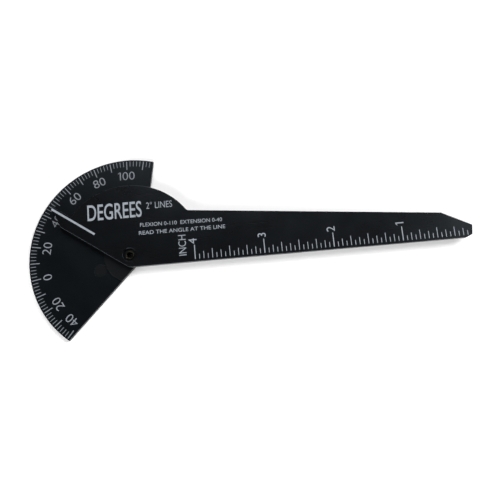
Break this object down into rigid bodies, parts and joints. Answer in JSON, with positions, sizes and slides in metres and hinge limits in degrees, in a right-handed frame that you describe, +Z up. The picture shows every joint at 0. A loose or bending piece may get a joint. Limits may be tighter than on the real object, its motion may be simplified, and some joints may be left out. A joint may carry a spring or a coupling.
{
  "type": "finger goniometer",
  "caption": "Flat finger goniometer: a fan-shaped protractor blade and a tapered ruler arm with a pointer, turning on a hollow eyelet.",
  "frame": {"origin": "middle of the bounding box, on the surface the goniometer lies on", "axes": "+X along the ruler arm towards its tip, parallel to its measuring edge; +Y across it, away from that edge; +Z up, out of the printed face"},
  "size_m": [0.1632, 0.0662, 0.0037],
  "materials": {
    "fan_plastic": "moulded, fine matt grain",
    "arm_plastic": "moulded, fine matt grain",
    "eyelet_brass": "darkened by age",
    "washer_steel": "nickel plated",
    "washer_nylon": "natural",
    "print_ink": "screen printed"
  },
  "bodies": {
    "protractor": {"protractor_blade": "fan_plastic", "pivot_eyelet": "eyelet_brass", "clinch_washer": "washer_steel", "friction_washer": "washer_nylon"},
    "arm": {"ruler_arm": "arm_plastic"}
  },
  "joints": [
    {"name": "pivot", "type": "hinge", "parent": "protractor", "child": "arm", "pos_m": [-0.04438, -0.00412, 0], "axis": [0, 0, 1], "range_deg": [-65, 85]}
  ]
}
